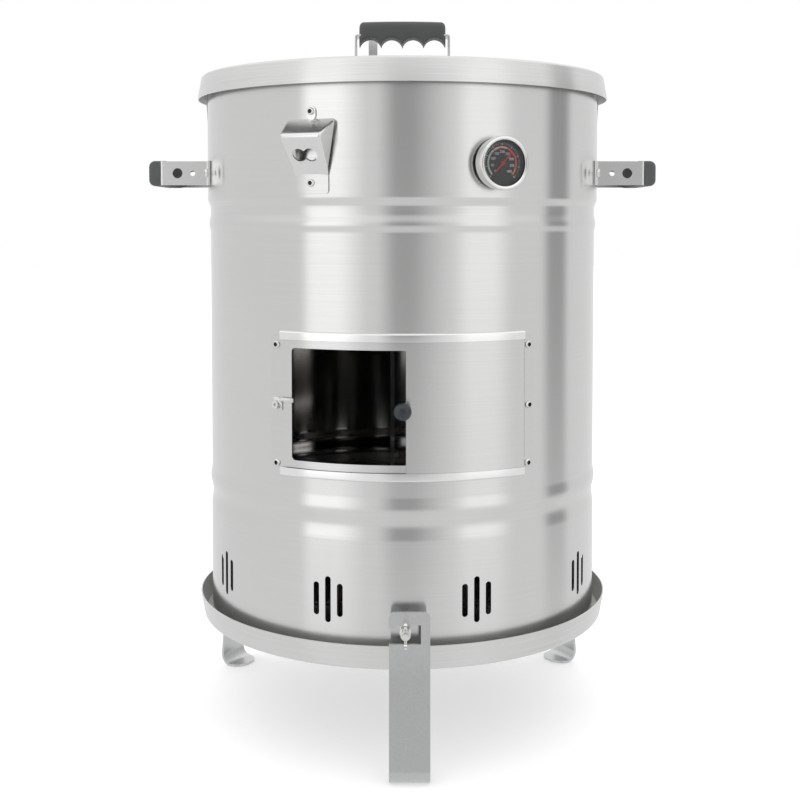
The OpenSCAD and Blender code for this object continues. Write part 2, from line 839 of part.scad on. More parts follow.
// Bail handle, folded down behind the basket at rest.
module basket_bail() {
    color("silver")
        translate([0, 0, basket_top])
            difference() {
                union() {
                    rotate_extrude(angle = 180) translate([bail_r, 0]) circle(r = 2.2, $fn = 32);
                    for (s = [-1, 1])
                        translate([s * bail_r - 2.5, 0, 0]) rotate([0, 90, 0]) cylinder(r = 4.6, h = 5);
                }
                translate([-bail_r - 10, 0, 0]) rotate([0, 90, 0]) cylinder(r = 2 + fit, h = 2 * bail_r + 20);
            }
}

base_pan();
leg(leg_angles[0]);  // leg_front
leg(leg_angles[1]);  // leg_right
leg(leg_angles[2]);  // leg_left
leg_spacers();
drum_shell();
lid_guides();
door_frame();
frame_screws();
door_stop();
door_catch();
door_panel();
knob_stud();
door_knob();
opener_hood();
opener_screws();
side_strap(1);  // side_strap_right
side_strap(-1);  // side_strap_left
side_grip(1);  // side_grip_right
side_grip(-1);  // side_grip_left
side_handle_screws();
wall_nuts();
thermo_case();
thermo_bezel();
thermo_dial();
thermo_needle();
thermo_glass();
thermo_stem();
thermo_nut();
grate_brackets();
leg_bolts();
leg_bolt_nuts();
wing_nut(leg_angles[0]);  // wing_nut_front
wing_nut(leg_angles[1]);  // wing_nut_right
wing_nut(leg_angles[2]);  // wing_nut_left
lid_shell();
lid_strap();
lid_grip();
lid_handle_screws();
lid_nuts();
damper_disc();
damper_rivet();
cooking_grate();
basket_wall();
basket_floor();
basket_bail();
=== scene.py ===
import json
import math

import bmesh
import bpy
from mathutils import Matrix, Vector

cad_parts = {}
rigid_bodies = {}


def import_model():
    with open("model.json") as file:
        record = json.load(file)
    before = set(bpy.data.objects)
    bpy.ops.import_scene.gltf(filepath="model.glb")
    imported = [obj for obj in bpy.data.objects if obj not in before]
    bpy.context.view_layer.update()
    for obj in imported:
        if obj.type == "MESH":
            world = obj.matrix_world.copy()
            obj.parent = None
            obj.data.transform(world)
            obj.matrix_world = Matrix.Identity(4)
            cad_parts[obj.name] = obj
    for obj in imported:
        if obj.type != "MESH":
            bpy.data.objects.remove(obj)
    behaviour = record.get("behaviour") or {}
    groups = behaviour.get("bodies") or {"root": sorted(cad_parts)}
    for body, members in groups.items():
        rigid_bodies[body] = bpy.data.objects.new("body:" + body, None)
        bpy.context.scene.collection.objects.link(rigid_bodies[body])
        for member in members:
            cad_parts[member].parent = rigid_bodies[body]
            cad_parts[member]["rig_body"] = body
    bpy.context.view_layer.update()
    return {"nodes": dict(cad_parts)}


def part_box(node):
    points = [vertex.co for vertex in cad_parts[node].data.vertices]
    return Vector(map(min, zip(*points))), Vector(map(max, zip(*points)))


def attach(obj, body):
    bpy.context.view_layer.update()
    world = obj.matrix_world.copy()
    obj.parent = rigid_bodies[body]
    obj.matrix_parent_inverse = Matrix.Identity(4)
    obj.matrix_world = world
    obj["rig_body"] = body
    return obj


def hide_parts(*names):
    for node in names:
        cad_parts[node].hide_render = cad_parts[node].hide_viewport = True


# Charcoal drum smoker: a stainless steel drum on three strap legs, with a lift-off lid and a sliding door.
# Lengths are metres. Angles round the drum are degrees, from the front (-Y) and growing to the right (+X).

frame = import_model()


# Base pan
# A shallow round dish that the drum stands in, spun from one disc of stainless sheet.
# Its rim flares outwards, and the satin polish runs round it.

def eased(points, radius, steps=5, closed=False):
    """The same line with an arc of that radius at each corner."""
    line = []
    for i, point in enumerate(points):
        corner = Vector(point)
        if not closed and i in (0, len(points) - 1):
            line.append(corner)
            continue
        before = Vector(points[i - 1]) - corner
        after = Vector(points[(i + 1) % len(points)]) - corner
        turn = math.pi - before.angle(after)
        if turn < 0.02:
            line.append(corner)
            continue
        reach = min(radius * math.tan(turn / 2), before.length * 0.49, after.length * 0.49)
        start = corner + before.normalized() * reach
        end = corner + after.normalized() * reach
        away = reach / math.tan(turn / 2) / math.cos(turn / 2)
        centre = corner + (before.normalized() + after.normalized()).normalized() * away
        for k in range(steps + 1):
            share = k / steps
            spoke = (start - centre) * math.sin((1 - share) * turn) + (end - centre) * math.sin(share * turn)
            line.append(centre + spoke / math.sin(turn))
    return line


def sheet_section(line, thickness):
    """Closed section of a folded sheet: the line, and the same line offset to its left."""
    line = [Vector(p) for p in line]
    other = []
    for i, point in enumerate(line):
        ahead = (line[min(i + 1, len(line) - 1)] - line[min(i, len(line) - 2)]).normalized()
        behind = (line[max(i, 1)] - line[max(i - 1, 0)]).normalized()
        left = Vector((-ahead.y - behind.y, ahead.x + behind.x)).normalized()
        other.append(point + left * thickness / max(0.5, left.dot(Vector((-ahead.y, ahead.x)))))
    return line + other[::-1]


def solid(name, bm, sharp=32):
    """One closed mesh piece from a bmesh, smooth apart from edges sharper than that angle."""
    bmesh.ops.remove_doubles(bm, verts=bm.verts, dist=1e-7)
    bmesh.ops.recalc_face_normals(bm, faces=bm.faces)
    mesh = bpy.data.meshes.new(name)
    bm.to_mesh(mesh)
    bm.free()
    mesh.shade_smooth()
    mesh.set_sharp_from_angle(angle=math.radians(sharp))
    piece = bpy.data.objects.new(name, mesh)
    bpy.context.scene.collection.objects.link(piece)
    return piece


def turned(name, section, start=0.0, stop=360.0, steps=480):
    """A closed (radius, height) section swept round the drum's axis. Its second half is the inner face."""
    bm = bmesh.new()
    whole = stop - start >= 360
    columns = steps if whole else steps + 1
    rings = []
    for i in range(columns):
        angle = math.radians(start + (stop - start) * i / steps)
        rings.append([bm.verts.new((r * math.sin(angle), -r * math.cos(angle), z)) for r, z in section])
    for i in range(steps):
        near, far = rings[i], rings[(i + 1) % columns]
        for k in range(len(section)):
            m = (k + 1) % len(section)
            face = bm.faces.new((near[k], far[k], far[m], near[m]))
            face.material_index = 1 if k >= len(section) // 2 else 0
    if not whole:
        bm.faces.new(rings[0])
        bm.faces.new(rings[-1][::-1])
    return solid(name, bm)


def steel(name, tone, roughness, grain, streak, depth=0.000012, aniso=0.85, turn=0.25):
    """Stainless sheet with a satin grain. grain is the streaks' frequency along x, y and z, per metre."""
    made = bpy.data.materials.new(name)
    made.use_nodes = True
    nodes, links = made.node_tree.nodes, made.node_tree.links
    shader = nodes["Principled BSDF"]
    shader.inputs["Metallic"].default_value = 1.0
    shader.inputs["Anisotropic"].default_value = aniso
    shader.inputs["Anisotropic Rotation"].default_value = turn
    place = nodes.new("ShaderNodeTexCoord")
    stretch = nodes.new("ShaderNodeMapping")
    stretch.inputs["Scale"].default_value = grain
    links.new(place.outputs["Object"], stretch.inputs["Vector"])
    lines = nodes.new("ShaderNodeTexNoise")
    lines.inputs["Scale"].default_value = 1.0
    lines.inputs["Detail"].default_value = 5.0
    lines.inputs["Roughness"].default_value = 0.7
    links.new(stretch.outputs["Vector"], lines.inputs["Vector"])
    cloud = nodes.new("ShaderNodeTexNoise")
    cloud.inputs["Scale"].default_value = 9.0
    cloud.inputs["Detail"].default_value = 3.0
    links.new(place.outputs["Object"], cloud.inputs["Vector"])
    both = nodes.new("ShaderNodeMath")
    both.operation = "MULTIPLY_ADD"
    both.inputs[1].default_value = 0.35
    links.new(cloud.outputs["Fac"], both.inputs[0])
    links.new(lines.outputs["Fac"], both.inputs[2])
    tint = nodes.new("ShaderNodeMapRange")
    tint.inputs["From Min"].default_value = 0.4
    tint.inputs["From Max"].default_value = 0.95
    links.new(both.outputs["Value"], tint.inputs["Value"])
    mix = nodes.new("ShaderNodeMix")
    mix.data_type = "RGBA"
    mix.inputs["A"].default_value = [c * (1 - streak) for c in tone] + [1.0]
    mix.inputs["B"].default_value = [min(1.0, c * (1 + streak)) for c in tone] + [1.0]
    links.new(tint.outputs["Result"], mix.inputs["Factor"])
    links.new(mix.outputs["Result"], shader.inputs["Base Color"])
    gloss = nodes.new("ShaderNodeMapRange")
    gloss.inputs["From Min"].default_value = 0.4
    gloss.inputs["From Max"].default_value = 0.95
    gloss.inputs["To Min"].default_value = roughness * 1.18
    gloss.inputs["To Max"].default_value = roughness * 0.82
    links.new(both.outputs["Value"], gloss.inputs["Value"])
    links.new(gloss.outputs["Result"], shader.inputs["Roughness"])
    relief = nodes.new("ShaderNodeBump")
    relief.inputs["Strength"].default_value = 0.5
    relief.inputs["Distance"].default_value = depth
    links.new(lines.outputs["Fac"], relief.inputs["Height"])
    links.new(relief.outputs["Normal"], shader.inputs["Normal"])
    tangent = nodes.new("ShaderNodeTangent")
    tangent.direction_type = "RADIAL"
    tangent.axis = "Z"
    links.new(tangent.outputs["Tangent"], shader.inputs["Tangent"])
    return made


def fit(piece, body, material, stands_for, inside=None):
    """Gives a piece its finish and its body. inside is the finish of a turned sheet's inner face."""
    piece.data.materials.append(material)
    piece.data.materials.append(inside or material)
    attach(piece, body)
    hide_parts(*stands_for)
    return piece


def dish_line(radius, flare, height, corner=0.0032):
    """Outer line of a dish from its middle to its rim: flat face, rounded corner and a tapered skirt."""
    return eased([(0.0, 0.0), (radius, 0.0), (flare, height)], corner, 8)


skirt_radius = 0.224
flare_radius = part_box("lid_shell")[1].x
rim_steel = steel("satin_rim_steel", (0.70, 0.70, 0.695), 0.24, (9, 9, 1500), 0.07)
pan_low, pan_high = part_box("base_pan")
pan_thick = 0.0014
pan_depth = pan_high.z - pan_low.z
pan_line = [(r, pan_low.z + h) for r, h in dish_line(skirt_radius, flare_radius - 0.0001, pan_depth - 0.0007)]
pan = turned("base_pan_spun", sheet_section(pan_line, pan_thick))
mill_steel = steel("unpolished_inner_steel", (0.58, 0.575, 0.57), 0.34, (60, 60, 900), 0.12)
fit(pan, "base", rim_steel, ["base_pan"], mill_steel)


# Drum
# One wall of 1.2 mm stainless sheet, rolled, welded up the back and pressed with two stiffening beads.
# The collar above the upper bead is a little wider, and the vent slots and the door opening are cut through.

def swelled(stations, steps=12):
    """Line through (radius, height) stations that swells smoothly from each radius to the next."""
    line = [Vector(stations[0])]
    for (r0, z0), (r1, z1) in zip(stations, stations[1:]):
        count = steps if r0 != r1 else 1
        for k in range(1, count + 1):
            share = k / count
            line.append(Vector((r0 + (r1 - r0) * share * share * (3 - 2 * share), z0 + (z1 - z0) * share)))
    return line


def stand(angle, radius, height):
    """Frame of a piece that stands on the drum wall: x to the right, y up, z outwards."""
    turn = Matrix.Rotation(math.radians(angle), 4, "Z")
    return turn @ Matrix.Translation((0, -radius, height)) @ Matrix.Rotation(math.radians(90), 4, "X")


def prism(bm, outline, place, low, high):
    """A straight prism on a closed 2D outline, from depth low to depth high of the frame place."""
    ends = [[bm.verts.new(place @ Vector((p[0], p[1], depth))) for p in outline] for depth in (low, high)]
    for i in range(len(outline)):
        k = (i + 1) % len(outline)
        bm.faces.new((ends[0][i], ends[0][k], ends[1][k], ends[1][i]))
    bm.faces.new(ends[0][::-1])
    bm.faces.new(ends[1])


def cut(piece, bm, sharp=32):
    """Takes the solids in a bmesh away from the piece."""
    tool = solid("cutter", bm)
    change = piece.modifiers.new("cut", "BOOLEAN")
    change.operation = "DIFFERENCE"
    change.solver = "EXACT"
    change.object = tool
    bpy.context.view_layer.update()
    depsgraph = bpy.context.evaluated_depsgraph_get()
    mesh = bpy.data.meshes.new_from_object(piece.evaluated_get(depsgraph))
    piece.modifiers.clear()
    piece.data = mesh
    mesh.name = piece.name
    mesh.shade_smooth()
    mesh.set_sharp_from_angle(angle=math.radians(sharp))
    bpy.data.objects.remove(tool)


drum_low, drum_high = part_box("drum_shell")
drum_radius = 0.215
collar_radius = drum_high.x
sheet = 0.0012
bead_low = 0.2768
bead_high = 0.570
drum_stations = [
    (drum_radius + 0.0005, drum_low.z),
    (drum_radius + 0.0005, bead_low - 0.0448),
    (drum_radius - 0.0012, bead_low - 0.0294),
    (drum_radius + 0.0015, bead_low - 0.0128),
    (drum_radius, bead_low),
    (drum_radius, bead_high - 0.036),
    (drum_radius + 0.0014, bead_high - 0.0275),
    (drum_radius - 0.0002, bead_high - 0.0157),
    (drum_radius - 0.0002, bead_high - 0.0098),
    (collar_radius, bead_high),
    (collar_radius, drum_high.z),
]
drum_line = swelled(drum_stations)
drum = turned("drum_wall", sheet_section(drum_line, sheet), steps=720)

vent_height = 0.1725
vent_count = 9
vent_width = 0.006
vent_pitch = 0.0126
vent_lengths = {-1: 0.033, 0: 0.046, 1: 0.033}


def vent_slots():
    """The round-ended slots of all the vents, as solids to cut with."""
    bm = bmesh.new()
    for i in range(vent_count):
        place = stand((i + 0.5) * 360 / vent_count, drum_radius, vent_height)
        for column, length in vent_lengths.items():
            half_w, half_h = vent_width / 2, length / 2
            corners = [(-half_w, -half_h), (half_w, -half_h), (half_w, half_h), (-half_w, half_h)]
            beside = Vector((column * vent_pitch, 0))
            outline = [p + beside for p in eased(corners, half_w * 0.98, 8, True)]
            prism(bm, outline, place, -0.01, 0.01)
    return bm


openings = vent_slots()
door_left, door_right = -30.6, 1.5
door_low, door_high = 0.3083, 0.4205
door_middle = stand((door_left + door_right) / 2, drum_radius, (door_low + door_high) / 2)
half_w = drum_radius * math.sin(math.radians((door_right - door_left) / 2)) + 0.003
half_h = (door_high - door_low) / 2 + 0.003
corners = [(-half_w, -half_h), (half_w, -half_h), (half_w, half_h), (-half_w, half_h)]
prism(openings, eased(corners, 0.007, 8, True), door_middle, -0.02, 0.012)
cut(drum, openings)

drum_steel = steel("satin_drum_steel", (0.69, 0.69, 0.685), 0.20, (7, 7, 1700), 0.035)
# The wall's inner face is a darker copy of the same sheet: painted shade for the closed drum's dim inside.
drum_inner_painted_shade = steel("drum_inner_painted_shade_steel", (0.52, 0.51, 0.50), 0.11, (13, 13, 1500), 0.10)
fit(drum, "drum", drum_steel, ["drum_shell"], drum_inner_painted_shade)

seam_angle = 183.5
seam_line = [(r - 0.0001, z) for r, z in drum_line if z < drum_high.z - 0.001]
for name, offset, thickness, half in (
    ("drum_seam_outside", 0.0004, 0.0006, 0.5),
    ("drum_seam_inside", -0.0009, 0.0010, 0.7),
):
    section = sheet_section([(r + offset, z) for r, z in seam_line], thickness)
    seam = turned(name, section, seam_angle - half, seam_angle + half, 4)
    cut(seam, vent_slots())
    fit(seam, "drum", rim_steel, [])


# Legs
# Three bars of 40 x 3 mm steel strip, blasted to a dull grey, each bent in at the foot.
# A bayonet slot near the top hooks over a bolt in the drum wall, and a wing nut holds it there.

def soften(node, material, edge=0.0003, sharp=35):
    """Gives a CAD piece its finish, and rounds its edges a little."""
    piece = frame["nodes"][node]
    piece.material_slots[0].material = material
    weld = piece.modifiers.new("weld", "WELD")
    weld.merge_threshold = 0.00001
    bevel = piece.modifiers.new("edges", "BEVEL")
    bevel.width = edge
    bevel.segments = 2
    bevel.limit_method = "ANGLE"
    bevel.angle_limit = math.radians(sharp)
    even = piece.modifiers.new("even", "WEIGHTED_NORMAL")
    even.keep_sharp = False
    return piece


leg_steel = steel("blasted_leg_steel", (0.60, 0.605, 0.61), 0.33, (420, 420, 420), 0.08, 0.00004, 0.0)
for node in ("leg_front", "leg_right", "leg_left"):
    soften(node, leg_steel, 0.0005)
soften("leg_spacers", leg_steel, 0.0004)

bright_steel = steel("bright_plated_steel", (0.78, 0.775, 0.76), 0.16, (900, 900, 900), 0.05, 0.00001, 0.0)
for node in ("leg_bolts", "leg_bolt_nuts", "wing_nut_front", "wing_nut_right", "wing_nut_left"):
    soften(node, bright_steel, 0.0004)


# Door frame
# A backing plate screwed over the opening, with a folded rail along its top and its bottom.
# The door's edges slide between the plate and the rails' lips.

def wrapped_plate(name, outlines, inner, thickness, edge=0.00025, step=1.0):
    """A plate that follows the drum. Outlines are closed (angle, height) lines: the rim first, then holes."""
    flat = bmesh.new()
    edges = []
    for line in outlines:
        corners = [flat.verts.new((p[0], p[1], 0)) for p in line]
        edges += [flat.edges.new((corners[i - 1], corners[i])) for i in range(len(corners))]
    bmesh.ops.triangle_fill(flat, use_beauty=True, edges=edges)
    angles = [v.co.x for v in flat.verts]
    first = math.floor(min(angles) / step)
    for k in range(first, math.ceil(max(angles) / step)):
        everything = flat.verts[:] + flat.edges[:] + flat.faces[:]
        here = (k * step, 0, 0)
        bmesh.ops.bisect_plane(flat, geom=everything, dist=1e-6, plane_co=here, plane_no=(1, 0, 0))
    bm = bmesh.new()
    sides = []
    for radius in (inner, inner + thickness):
        row = {}
        for v in flat.verts:
            angle = math.radians(v.co.x)
            row[v] = bm.verts.new((radius * math.sin(angle), -radius * math.cos(angle), v.co.y))
        sides.append(row)
    for face in flat.faces:
        bm.faces.new([sides[0][v] for v in face.verts])
        bm.faces.new([sides[1][v] for v in reversed(face.verts)])
    for rim in flat.edges:
        if len(rim.link_faces) == 1:
            a, b = rim.verts
            bm.faces.new((sides[0][a], sides[0][b], sides[1][b], sides[1][a]))
    flat.free()
    piece = solid(name, bm)
    bevel = piece.modifiers.new("edges", "BEVEL")
    bevel.width = edge
    bevel.segments = 2
    bevel.limit_method = "ANGLE"
    bevel.angle_limit = math.radians(50)
    return piece


def corner_line(left, right, low, high, corner, radius):
    """Rectangle in (angle, height) with rounded corners; corner is their size on the drum's surface."""
    scale = math.radians(1) * radius
    points = [(left * scale, low), (right * scale, low), (right * scale, high), (left * scale, high)]
    return [(p.x / scale, p.y) for p in eased(points, corner, 6, True)]


plate_inner = drum_radius + 0.00005
rail_low, rail_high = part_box("door_frame")[0].z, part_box("door_frame")[1].z
rail_half = 34.0
ear_half = 37.5
plate_rim = corner_line(-ear_half, ear_half, rail_low + 0.004, rail_high - 0.005, 0.003, drum_radius)
plate_hole = corner_line(door_left, door_right, door_low, door_high, 0.004, drum_radius)
panel_steel = steel("satin_panel_steel", (0.68, 0.68, 0.675), 0.24, (8, 8, 2100), 0.04)
# The rails' steel is painted paler than the panel's: a painted highlight for the light their folded lips
# catch.
rail_painted_highlight_steel = steel("rail_steel_painted_highlight", (0.86, 0.86, 0.855), 0.16, (8, 8, 2100), 0.03)
plate = wrapped_plate("door_backing_plate", [plate_rim, plate_hole], plate_inner, sheet)
fit(plate, "drum", panel_steel, ["door_frame"])

slide_gap = 0.0003
lip_outer = plate_inner + 3 * sheet + slide_gap + 0.00035
lip_height, back_height = 0.0084, 0.0048
rail_reach = plate_inner + 0.0002
for name, edge, way in (("door_rail_top", rail_high, -1), ("door_rail_bottom", rail_low, 1)):
    fold = [
        (rail_reach, edge + way * back_height),
        (rail_reach, edge),
        (lip_outer, edge),
        (lip_outer - 0.0003, edge + way * lip_height),
    ]
    section = sheet_section(eased(fold, 0.0024, 7), way * sheet * 0.8)
    rail = turned(name, section, -rail_half, rail_half, 136)
    fit(rail, "drum", rail_painted_highlight_steel, ["door_frame"])


def loft(bm, rings, place):
    """A closed solid through rings of (x, y, z) points of equal count. Gives its faces, band by band."""
    made = [[bm.verts.new(place @ Vector(p)) for p in ring] for ring in rings]
    bands = []
    for near, far in zip(made, made[1:]):
        band = []
        for k in range(len(near)):
            m = (k + 1) % len(near)
            band.append(bm.faces.new((near[k], near[m], far[m], far[k])))
        bands.append(band)
    bm.faces.new(made[0][::-1])
    bands[-1].append(bm.faces.new(made[-1]))
    return bands


def circle_ring(radius, depth, count=48):
    """A circle of points at a depth, for loft."""
    return [(radius * math.cos(math.tau * k / count), radius * math.sin(math.tau * k / count), depth)
            for k in range(count)]


def hexagon_ring(across, depth, count=48):
    """A hexagon of that width across its flats, with as many points as a circle ring."""
    ring = []
    for k in range(count):
        angle = math.tau * k / count
        off_flat = (angle % math.radians(60)) - math.radians(30)
        radius = across / 2 / math.cos(off_flat)
        ring.append((radius * math.cos(angle), radius * math.sin(angle), depth))
    return ring


# Near-black steel for the screws' sockets: painted shade for the shade inside their deep recess.
socket_painted_shade = steel("socket_painted_shade_steel", (0.06, 0.06, 0.06), 0.5, (900, 900, 900), 0.1, 0.00001, 0.0)


def button_screws(name, node, places, head, height, shank, length):
    """Domed screws with a hexagon socket painted near-black as painted shade. places stand on the surface
    under the heads.
    """
    bm = bmesh.new()
    socket = head * 1.12
    rim, dome, dome_steps = 0.22, math.radians(56), 8
    for place in places:
        rings = [
            circle_ring(shank * 0.8, -length),
            circle_ring(shank, -length + shank * 0.25),
            circle_ring(shank, 0.0),
            circle_ring(head * 0.97, 0.0),
            circle_ring(head, height * 0.06),
            circle_ring(head, height * rim),
        ]
        for k in range(1, dome_steps + 1):
            turn = dome * k / dome_steps
            lift = height * (rim + (1 - rim) * math.sin(turn) / math.sin(dome))
            rings.append(circle_ring(head * (0.42 + 0.58 * math.cos(turn)), lift))
        rings += [
            hexagon_ring(socket, height * 0.995),
            hexagon_ring(socket * 0.95, height * 0.93),
            hexagon_ring(socket * 0.95, height * 0.42),
            circle_ring(socket * 0.1, height * 0.34),
        ]
        bands = loft(bm, rings, place)
        # The socket's inner faces take the painted shade.
        for face in bands[-2] + bands[-1]:
            face.material_index = 1
    screws = solid(name, bm, 38)
    body = frame["nodes"][node]["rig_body"]
    return fit(screws, body, bright_steel, [node], socket_painted_shade)


stop_angle = 35.5
screw_seat = plate_inner + sheet + 0.00005
frame_screw_heights = (0.304, 0.423)
frame_places = [stand(a, screw_seat, z) for a in (-stop_angle, stop_angle) for z in frame_screw_heights]
button_screws("frame_button_screws", "frame_screws", frame_places, 0.0038, 0.0024, 0.002, 0.0072)
stop_place = stand(stop_angle, screw_seat, 0.3627)
button_screws("door_stop_screw", "door_stop", [stop_place], 0.0038, 0.0033, 0.002, 0.0072)
soften("door_catch", panel_steel, 0.0002)


# Sliding door
# A curved panel of the same sheet, with a lug at its left edge that carries a turned black knob.
# It slides to the left over the opening, and stands open at rest.

panel_inner = plate_inner + sheet + slide_gap
panel_low, panel_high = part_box("door_panel")[0].z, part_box("door_panel")[1].z
knob_height = 0.3627
lug_low, lug_high = knob_height - 0.0064, knob_height + 0.0032
panel_left, panel_right, lug_left = 0.9, 34.2, -0.9
scale = math.radians(1) * drum_radius
panel_corners = [
    (panel_left, panel_low), (panel_right, panel_low), (panel_right, panel_high), (panel_left, panel_high),
    (panel_left, lug_high), (lug_left, lug_high), (lug_left, lug_low), (panel_left, lug_low),
]
panel_line = eased([(a * scale, z) for a, z in panel_corners], 0.0012, 4, True)
panel = wrapped_plate("sliding_door", [[(p.x / scale, p.y) for p in panel_line]], panel_inner, sheet)
fit(panel, "door", panel_steel, ["door_panel"])
soften("knob_stud", bright_steel, 0.0002)


def moulded(name, colour, roughness, grain, depth, worn):
    """Moulded black plastic with a fine spark-eroded grain, a little paler where hands rub it."""
    made = bpy.data.materials.new(name)
    made.use_nodes = True
    nodes, links = made.node_tree.nodes, made.node_tree.links
    shader = nodes["Principled BSDF"]
    place = nodes.new("ShaderNodeTexCoord")
    grit = nodes.new("ShaderNodeTexNoise")
    grit.inputs["Scale"].default_value = grain
    grit.inputs["Detail"].default_value = 4.0
    links.new(place.outputs["Object"], grit.inputs["Vector"])
    patches = nodes.new("ShaderNodeTexNoise")
    patches.inputs["Scale"].default_value = 45.0
    patches.inputs["Detail"].default_value = 3.0
    links.new(place.outputs["Object"], patches.inputs["Vector"])
    edges = nodes.new("ShaderNodeNewGeometry")
    rub = nodes.new("ShaderNodeMapRange")
    rub.inputs["From Min"].default_value = 0.48
    rub.inputs["From Max"].default_value = 0.62
    links.new(edges.outputs["Pointiness"], rub.inputs["Value"])
    amount = nodes.new("ShaderNodeMath")
    amount.operation = "MULTIPLY_ADD"
    amount.inputs[1].default_value = 0.45
    links.new(patches.outputs["Fac"], amount.inputs[0])
    links.new(rub.outputs["Result"], amount.inputs[2])
    mix = nodes.new("ShaderNodeMix")
    mix.data_type = "RGBA"
    mix.inputs["A"].default_value = (*colour, 1.0)
    mix.inputs["B"].default_value = (*worn, 1.0)
    links.new(amount.outputs["Value"], mix.inputs["Factor"])
    links.new(mix.outputs["Result"], shader.inputs["Base Color"])
    gloss = nodes.new("ShaderNodeMapRange")
    gloss.inputs["To Min"].default_value = roughness - 0.08
    gloss.inputs["To Max"].default_value = roughness + 0.08
    links.new(patches.outputs["Fac"], gloss.inputs["Value"])
    links.new(gloss.outputs["Result"], shader.inputs["Roughness"])
    relief = nodes.new("ShaderNodeBump")
    relief.inputs["Strength"].default_value = 0.6
    relief.inputs["Distance"].default_value = depth
    links.new(grit.outputs["Fac"], relief.inputs["Height"])
    links.new(relief.outputs["Normal"], shader.inputs["Normal"])
    return made


knob_plastic = moulded("knob_plastic", (0.010, 0.012, 0.015), 0.24, 2600, 0.00001, (0.03, 0.034, 0.04))
knob_back = panel_inner + sheet + 0.0054
knob_radius, knob_depth, knob_dome = 0.009, 0.0114, 0.0045
bm = bmesh.new()
rings = [
    circle_ring(knob_radius * 0.72, 0.0),
    circle_ring(knob_radius * 0.8, 0.0006),
    circle_ring(knob_radius * 0.86, 0.002),
    circle_ring(knob_radius * 0.98, 0.0034),
]
for k in range(13):
    turn = math.radians(90) * k / 12
    depth = knob_dome + (knob_depth - knob_dome) * math.sin(turn)
    rings.append(circle_ring(knob_radius * math.cos(turn) ** 0.7 + 0.00005, depth))
loft(bm, rings, stand(0, knob_back, knob_height))
fit(solid("door_knob_turned", bm), "door", knob_plastic, ["door_knob"])


# Bottle opener
# A hood folded from 1.5 mm stainless sheet, with a dumbbell hole that grips the cap.
# It is screwed to the collar through a tab above and a foot below.

def between(value, start, stop, first, last):
    """The value's place from start to stop, read off between first and last."""
    share = min(1.0, max(0.0, (value - start) / (stop - start)))
    return first + (last - first) * share


opener_angle = -24.0
opener_back = collar_radius + 0.0001
screw_top, screw_low = 0.6529, 0.5833
hood_top, hood_fold, hood_foot = screw_top - 0.0074, screw_top - 0.0247, screw_low + 0.007
hood_reach = 0.026
hood_half = {hood_top: 0.0275, hood_fold: 0.0219, hood_foot: 0.0185}
hood_corner = 0.005
hood_sheet = 0.0015
hood_side = eased([(0.0004, hood_top), (hood_reach, hood_fold), (0.0004, hood_foot)], 0.0042, 8)
hood_rows = [hood_side[0].lerp(hood_side[1], k / 8) for k in range(8)] + hood_side[1:-1]
hood_rows += [hood_side[-2].lerp(hood_side[-1], k / 8) for k in range(1, 9)]
at_opener = stand(opener_angle, opener_back, 0)
bm = bmesh.new()
grid = []
for reach, height in hood_rows:
    if height > hood_fold:
        front = between(height, hood_top, hood_fold, hood_half[hood_top], hood_half[hood_fold])
    else:
        front = between(height, hood_fold, hood_foot, hood_half[hood_fold], hood_half[hood_foot])
    back = between(height, hood_top, hood_foot, hood_half[hood_top], hood_half[hood_foot])
    drop = min(hood_corner, max(0.0, hood_top - height))
    cut_in = hood_corner - math.sqrt(max(0.0, hood_corner ** 2 - (hood_corner - drop) ** 2))
    flank = Vector((back - front, -reach))
    soft = min(0.003, flank.length * 0.5)
    corner = Vector((front - cut_in, reach))
    half_row = [corner + flank * (1 - k / 6) * (1 - soft / flank.length) + flank.normalized() * soft * (k / 6)
                for k in range(6)]
    for k in range(7):
        t = k / 6
        inwards = Vector((-1, 0)) * soft * t ** 2
        half_row.append(corner + flank.normalized() * soft * (1 - t) ** 2 + inwards)
    row = [Vector((p.x, height, p.y)) for p in half_row]
    row += [Vector((-p.x, height, p.y)) for p in reversed(half_row)]
    grid.append([bm.verts.new(at_opener @ p) for p in row])
for upper, lower in zip(grid, grid[1:]):
    for k in range(len(upper) - 1):
        bm.faces.new((upper[k], upper[k + 1], lower[k + 1], lower[k]))
hood = solid("opener_hood_folded", bm, 60)
if hood.data.polygons[len(hood.data.polygons) // 2].normal.y > 0:
    hood.data.flip_normals()
thick = hood.modifiers.new("sheet", "SOLIDIFY")
thick.thickness = hood_sheet
thick.offset = -1.0
face_tilt = math.atan(hood_reach / (hood_fold - hood_foot))
cap_hole = bmesh.new()
lobe, lobe_gap, neck = 0.0072, 0.0062, 0.0047
start_angle = math.asin(neck / lobe)
outline = []
for side in (1, -1):
    for k in range(25):
        angle = (start_angle - math.pi) + (math.tau - 2 * start_angle) * k / 24
        outline.append(Vector((side * (lobe_gap + lobe * math.cos(angle)), side * lobe * math.sin(angle))))
hole_place = at_opener @ Matrix.Translation((0, (hood_fold + hood_foot) / 2 + 0.001, hood_reach / 2))
prism(cap_hole, outline, hole_place @ Matrix.Rotation(face_tilt, 4, "X"), -0.008, 0.012)
hood_steel = steel("satin_hood_steel", (0.76, 0.76, 0.755), 0.22, (300, 300, 2400), 0.05, aniso=0.0)
cut(hood, cap_hole, 50)
fit(hood, "drum", hood_steel, ["opener_hood"])

